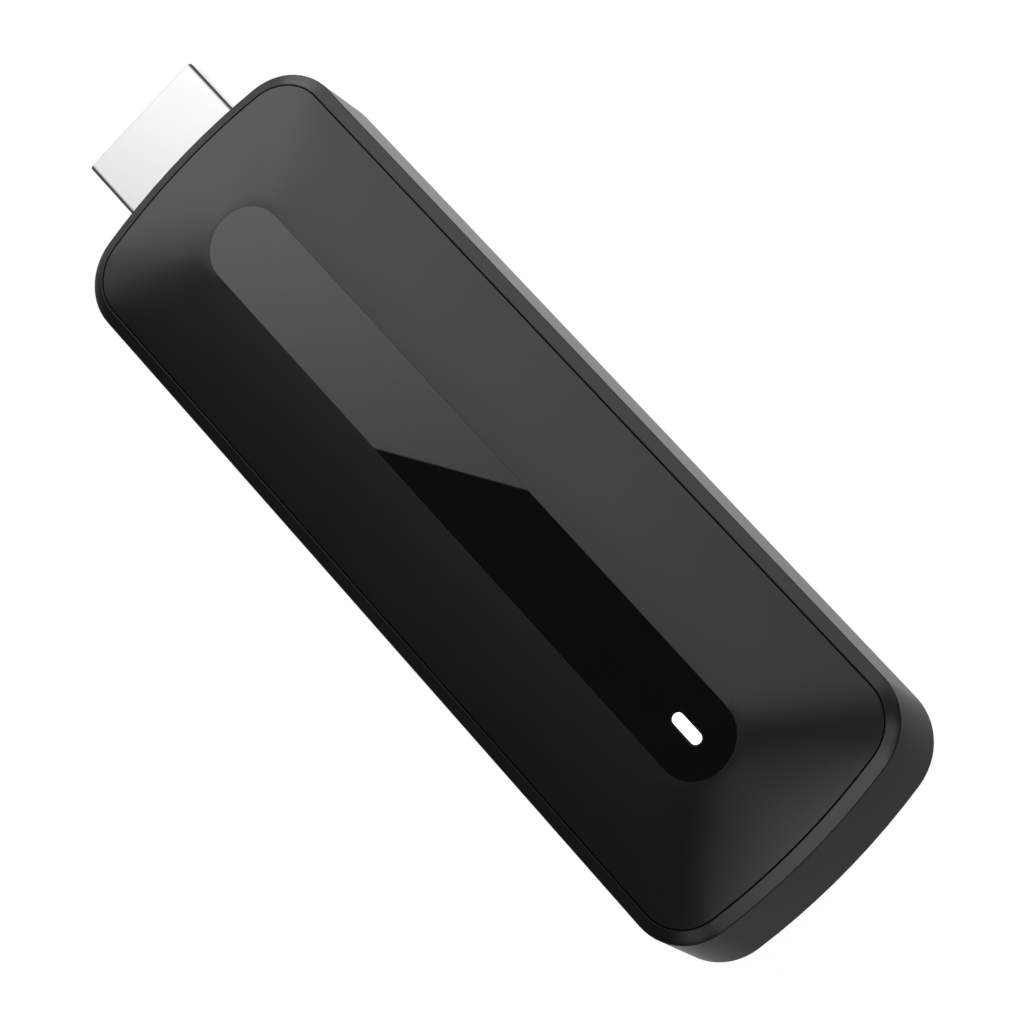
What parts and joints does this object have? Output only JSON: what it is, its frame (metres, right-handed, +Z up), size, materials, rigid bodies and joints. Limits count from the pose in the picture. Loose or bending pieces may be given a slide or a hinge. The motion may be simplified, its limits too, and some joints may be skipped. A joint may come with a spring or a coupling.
{
  "type": "streaming media stick",
  "caption": "Slim crowned stick with a display plug at one end, a pill-shaped inlay with an indicator lamp on top, and a power inlet and reset button in one long side.",
  "frame": {"origin": "the middle of the whole stick's box, plug included, at the height of the flat underside", "axes": "+X along the stick, away from the display plug, which points to -X; +Y across the stick, away from the side with the power inlet and the reset button; +Z up, out of the crowned face with the inlay"},
  "size_m": [0.1037, 0.0302, 0.012],
  "materials": {
    "casing_black": "satin moulded black",
    "inlay_grey": "fine satin grey, bare",
    "window_black": "smooth black, passes infrared",
    "adhesive": "dull adhesive film",
    "light_pipe": "milky translucent",
    "plug_steel": "nickel-plated, satin",
    "insulator": "moulded black",
    "contact_gold": "gold-plated",
    "board": "green solder mask",
    "screw_steel": "zinc-plated",
    "chip_black": "moulded epoxy",
    "capacitor_tan": "plain ceramic with tinned ends",
    "inductor_grey": "dull ferrite",
    "can_steel": "tin-plated sheet",
    "thermal_pad": "soft silicone",
    "spreader_aluminium": "plain aluminium",
    "receiver_epoxy": "dark clear epoxy",
    "led_white": "white moulded",
    "switch_plastic": "moulded black",
    "plunger_white": "moulded white",
    "label_grey": "blank matt label"
  },
  "bodies": {
    "stick": {"lower_housing": "casing_black", "top_cover": "casing_black", "badge_plate": "inlay_grey", "ir_window": "window_black", "inlay_adhesive": "adhesive", "led_light_pipe": "light_pipe", "plug_shell": "plug_steel", "inlet_shell": "plug_steel", "plug_insulator": "insulator", "inlet_tongue": "insulator", "plug_contacts_upper": "contact_gold", "plug_contacts_lower": "contact_gold", "inlet_contacts_upper": "contact_gold", "inlet_contacts_lower": "contact_gold", "main_board": "board", "wireless_board": "board", "board_screws": "screw_steel", "soc_chip": "chip_black", "memory_chips": "chip_black", "flash_chip": "chip_black", "power_chip": "chip_black", "wireless_chip": "chip_black", "surge_arrays": "chip_black", "capacitors_top": "capacitor_tan", "capacitors_under": "capacitor_tan", "bulk_capacitors": "capacitor_tan", "power_inductors": "inductor_grey", "shield_frame": "can_steel", "shield_lid": "can_steel", "wireless_shield": "can_steel", "ir_receiver_shield": "can_steel", "main_crystal": "can_steel", "antenna_left": "can_steel", "antenna_right": "can_steel", "reset_switch_cover": "can_steel", "reset_switch_dome": "can_steel", "soc_thermal_pad": "thermal_pad", "spreader_thermal_pad": "thermal_pad", "heat_spreader": "spreader_aluminium", "ir_receiver": "receiver_epoxy", "status_led": "led_white", "reset_switch_body": "switch_plastic", "rating_label": "label_grey"},
    "button": {"reset_button": "casing_black", "reset_switch_plunger": "plunger_white"}
  },
  "joints": [
    {"name": "reset_press", "type": "slide", "parent": "stick", "child": "button", "axis": [0, 1, 0], "range_m": [0, 0.0003], "stiffness_N_per_m": 5000, "springref_m": -0.0001}
  ]
}
